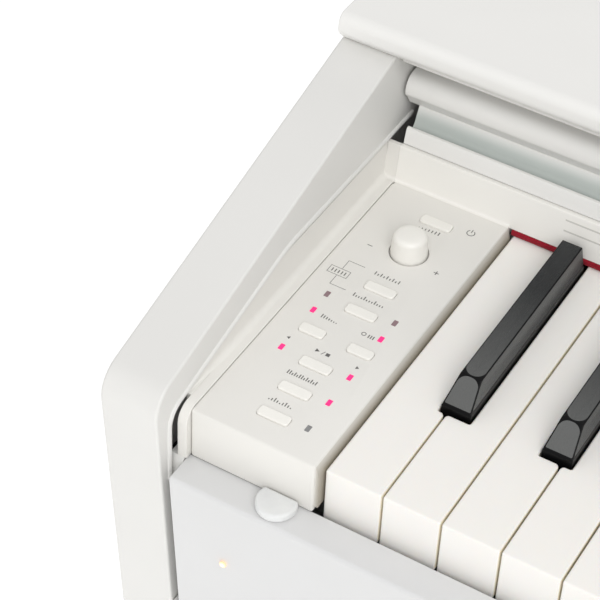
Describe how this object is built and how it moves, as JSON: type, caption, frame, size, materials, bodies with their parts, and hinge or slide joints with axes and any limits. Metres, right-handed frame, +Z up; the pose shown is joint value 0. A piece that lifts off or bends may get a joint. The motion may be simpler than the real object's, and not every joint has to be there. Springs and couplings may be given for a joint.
{
  "type": "digital piano on stand",
  "caption": "Full-size digital piano in a shallow white cabinet with a sliding key cover, an end control panel, and a cantilever stand with a pedal box.",
  "frame": {"origin": "centre of the footprint, on the floor that the stand rests on", "axes": "+X along the keyboard to the treble end, +Y to the back, +Z up"},
  "size_m": [1.391, 0.299, 0.977],
  "materials": {
    "painted_board": "satin white melamine",
    "moulding": "satin moulded plastic",
    "ivory": "satin, slightly warm white",
    "ebony": "matte, finely textured",
    "felt": "crimson felt",
    "frosted_pad": "frosted soft plastic",
    "lamp_lens": "lit lens",
    "chassis": "moulded grey plastic",
    "circuit": "green board",
    "speaker_cone": "black paper and steel",
    "dark_plastic": "satin black",
    "pedal_brass": "polished",
    "steel": "bright"
  },
  "bodies": {
    "cabinet": {"arm_board_left": "painted_board", "arm_board_right": "painted_board", "cover_guide_left": "moulding", "cover_guide_right": "moulding", "top_board": "painted_board", "case_back": "painted_board", "bottom_board": "painted_board", "key_slip": "moulding", "name_board": "moulding", "control_block_left": "moulding", "control_block_right": "moulding", "key_felt": "felt", "bumper_left": "frosted_pad", "bumper_right": "frosted_pad", "power_lamp": "lamp_lens", "key_chassis": "chassis", "panel_circuit_board": "circuit", "main_circuit_board": "circuit", "speaker_left": "speaker_cone", "speaker_right": "speaker_cone", "headphone_box": "dark_plastic", "power_inlet": "dark_plastic", "leg_board_left": "painted_board", "leg_board_right": "painted_board", "foot_board_left": "painted_board", "foot_board_right": "painted_board", "stand_back_board": "painted_board", "pedal_box": "painted_board", "pedal_shaft": "steel"},
    "cover_front": {"cover_rail": "painted_board", "cover_front_board": "painted_board"},
    "cover_rear": {"cover_rear_board": "painted_board"},
    "music_rest": {"music_rest": "painted_board"},
    "volume_knob": {"volume_knob": "moulding"},
    "pedal_adjuster": {"pedal_adjuster": "dark_plastic"},
    "soft_pedal": {"soft_pedal": "pedal_brass"},
    "sostenuto_pedal": {"sostenuto_pedal": "pedal_brass"},
    "damper_pedal": {"damper_pedal": "pedal_brass"},
    "power_button": {"power_button": "moulding"},
    "function_button": {"function_button": "moulding"},
    "metronome_button": {"metronome_button": "moulding"},
    "reverb_button": {"reverb_button": "moulding"},
    "record_button": {"record_button": "moulding"},
    "play_stop_button": {"play_stop_button": "moulding"},
    "piano_tone_button": {"piano_tone_button": "moulding"},
    "electric_tone_button": {"electric_tone_button": "moulding"},
    "key_a0": {"key_a0": "ivory"},
    "key_a0_sharp": {"key_a0_sharp": "ebony"},
    "key_b0": {"key_b0": "ivory"},
    "key_c1": {"key_c1": "ivory"},
    "key_c1_sharp": {"key_c1_sharp": "ebony"},
    "key_d1": {"key_d1": "ivory"},
    "key_d1_sharp": {"key_d1_sharp": "ebony"},
    "key_e1": {"key_e1": "ivory"},
    "white_keys_low": {"white_keys_low": "ivory"},
    "black_keys_low": {"black_keys_low": "ebony"},
    "white_keys_middle": {"white_keys_middle": "ivory"},
    "black_keys_middle": {"black_keys_middle": "ebony"},
    "white_keys_high": {"white_keys_high": "ivory"},
    "black_keys_high": {"black_keys_high": "ebony"}
  },
  "joints": [
    {"name": "cover_front_travel", "type": "hinge", "parent": "cabinet", "child": "cover_front", "pos_m": [0, 0.022, -0.0265], "axis": [1, 0, 0], "range_deg": [0, 12.3]},
    {"name": "cover_rear_travel", "type": "hinge", "parent": "cabinet", "child": "cover_rear", "pos_m": [0, 0.022, -0.0265], "axis": [1, 0, 0], "range_deg": [0, 6.15]},
    {"name": "damper_pedal_press", "type": "hinge", "parent": "cabinet", "child": "damper_pedal", "pos_m": [0.072, 0.096, 0.092], "axis": [1, 0, 0], "range_deg": [0, 4.5], "stiffness_Nm_per_rad": 15, "springref_deg": -3.44},
    {"name": "sostenuto_pedal_press", "type": "hinge", "parent": "cabinet", "child": "sostenuto_pedal", "pos_m": [0, 0.096, 0.092], "axis": [1, 0, 0], "range_deg": [0, 4.5], "stiffness_Nm_per_rad": 15, "springref_deg": -3.44},
    {"name": "soft_pedal_press", "type": "hinge", "parent": "cabinet", "child": "soft_pedal", "pos_m": [-0.072, 0.096, 0.092], "axis": [1, 0, 0], "range_deg": [0, 4.5], "stiffness_Nm_per_rad": 15, "springref_deg": -3.44},
    {"name": "music_rest_lift", "type": "slide", "parent": "cabinet", "child": "music_rest", "axis": [0, 0, 1], "range_m": [0, 0.0105]},
    {"name": "pedal_adjuster_raise", "type": "slide", "parent": "cabinet", "child": "pedal_adjuster", "axis": [0, 0, 1], "range_m": [0, 0.012]},
    {"name": "key_a0_press", "type": "hinge", "parent": "cabinet", "child": "key_a0", "pos_m": [0, 0.0835, 0.713], "axis": [1, 0, 0], "range_deg": [0, 2.6], "stiffness_Nm_per_rad": 1.5, "springref_deg": -8.59},
    {"name": "key_a0_sharp_press", "type": "hinge", "parent": "cabinet", "child": "key_a0_sharp", "pos_m": [0, 0.0835, 0.713], "axis": [1, 0, 0], "range_deg": [0, 2.6], "stiffness_Nm_per_rad": 1, "springref_deg": -8.59},
    {"name": "key_b0_press", "type": "hinge", "parent": "cabinet", "child": "key_b0", "pos_m": [0, 0.0835, 0.713], "axis": [1, 0, 0], "range_deg": [0, 2.6], "stiffness_Nm_per_rad": 1.5, "springref_deg": -8.59},
    {"name": "key_c1_press", "type": "hinge", "parent": "cabinet", "child": "key_c1", "pos_m": [0, 0.0835, 0.713], "axis": [1, 0, 0], "range_deg": [0, 2.6], "stiffness_Nm_per_rad": 1.5, "springref_deg": -8.59},
    {"name": "key_c1_sharp_press", "type": "hinge", "parent": "cabinet", "child": "key_c1_sharp", "pos_m": [0, 0.0835, 0.713], "axis": [1, 0, 0], "range_deg": [0, 2.6], "stiffness_Nm_per_rad": 1, "springref_deg": -8.59},
    {"name": "key_d1_press", "type": "hinge", "parent": "cabinet", "child": "key_d1", "pos_m": [0, 0.0835, 0.713], "axis": [1, 0, 0], "range_deg": [0, 2.6], "stiffness_Nm_per_rad": 1.5, "springref_deg": -8.59},
    {"name": "key_d1_sharp_press", "type": "hinge", "parent": "cabinet", "child": "key_d1_sharp", "pos_m": [0, 0.0835, 0.713], "axis": [1, 0, 0], "range_deg": [0, 2.6], "stiffness_Nm_per_rad": 1, "springref_deg": -8.59},
    {"name": "key_e1_press", "type": "hinge", "parent": "cabinet", "child": "key_e1", "pos_m": [0, 0.0835, 0.713], "axis": [1, 0, 0], "range_deg": [0, 2.6], "stiffness_Nm_per_rad": 1.5, "springref_deg": -8.59},
    {"name": "white_keys_low_press", "type": "hinge", "parent": "cabinet", "child": "white_keys_low", "pos_m": [0, 0.0835, 0.713], "axis": [1, 0, 0], "range_deg": [0, 2.6], "stiffness_Nm_per_rad": 27, "springref_deg": -8.59},
    {"name": "black_keys_low_press", "type": "hinge", "parent": "cabinet", "child": "black_keys_low", "pos_m": [0, 0.0835, 0.713], "axis": [1, 0, 0], "range_deg": [0, 2.6], "stiffness_Nm_per_rad": 13, "springref_deg": -8.59},
    {"name": "white_keys_middle_press", "type": "hinge", "parent": "cabinet", "child": "white_keys_middle", "pos_m": [0, 0.0835, 0.713], "axis": [1, 0, 0], "range_deg": [0, 2.6], "stiffness_Nm_per_rad": 21, "springref_deg": -8.59},
    {"name": "black_keys_middle_press", "type": "hinge", "parent": "cabinet", "child": "black_keys_middle", "pos_m": [0, 0.0835, 0.713], "axis": [1, 0, 0], "range_deg": [0, 2.6], "stiffness_Nm_per_rad": 10, "springref_deg": -8.59},
    {"name": "white_keys_high_press", "type": "hinge", "parent": "cabinet", "child": "white_keys_high", "pos_m": [0, 0.0835, 0.713], "axis": [1, 0, 0], "range_deg": [0, 2.6], "stiffness_Nm_per_rad": 22.5, "springref_deg": -8.59},
    {"name": "black_keys_high_press", "type": "hinge", "parent": "cabinet", "child": "black_keys_high", "pos_m": [0, 0.0835, 0.713], "axis": [1, 0, 0], "range_deg": [0, 2.6], "stiffness_Nm_per_rad": 10, "springref_deg": -8.59},
    {"name": "panel_power_button_press", "type": "slide", "parent": "cabinet", "child": "power_button", "axis": [0, 0, -1], "range_m": [0, 0.0008], "stiffness_N_per_m": 1000, "springref_m": -0.0008},
    {"name": "panel_function_button_press", "type": "slide", "parent": "cabinet", "child": "function_button", "axis": [0, 0, -1], "range_m": [0, 0.0008], "stiffness_N_per_m": 1000, "springref_m": -0.0008},
    {"name": "panel_metronome_button_press", "type": "slide", "parent": "cabinet", "child": "metronome_button", "axis": [0, 0, -1], "range_m": [0, 0.0008], "stiffness_N_per_m": 1000, "springref_m": -0.0008},
    {"name": "panel_reverb_button_press", "type": "slide", "parent": "cabinet", "child": "reverb_button", "axis": [0, 0, -1], "range_m": [0, 0.0008], "stiffness_N_per_m": 1000, "springref_m": -0.0008},
    {"name": "panel_record_button_press", "type": "slide", "parent": "cabinet", "child": "record_button", "axis": [0, 0, -1], "range_m": [0, 0.0008], "stiffness_N_per_m": 1000, "springref_m": -0.0008},
    {"name": "panel_play_stop_button_press", "type": "slide", "parent": "cabinet", "child": "play_stop_button", "axis": [0, 0, -1], "range_m": [0, 0.0008], "stiffness_N_per_m": 1000, "springref_m": -0.0008},
    {"name": "panel_piano_tone_button_press", "type": "slide", "parent": "cabinet", "child": "piano_tone_button", "axis": [0, 0, -1], "range_m": [0, 0.0008], "stiffness_N_per_m": 1000, "springref_m": -0.0008},
    {"name": "panel_electric_tone_button_press", "type": "slide", "parent": "cabinet", "child": "electric_tone_button", "axis": [0, 0, -1], "range_m": [0, 0.0008], "stiffness_N_per_m": 1000, "springref_m": -0.0008},
    {"name": "volume_knob_turn", "type": "hinge", "parent": "cabinet", "child": "volume_knob", "pos_m": [-0.6392, -0.0177, 0.727], "axis": [0, 0, 1], "range_deg": [-150, 150]}
  ],
  "couplings": [
    {"joint": "cover_rear_travel", "follows": "cover_front_travel", "ratio": 0.5}
  ]
}
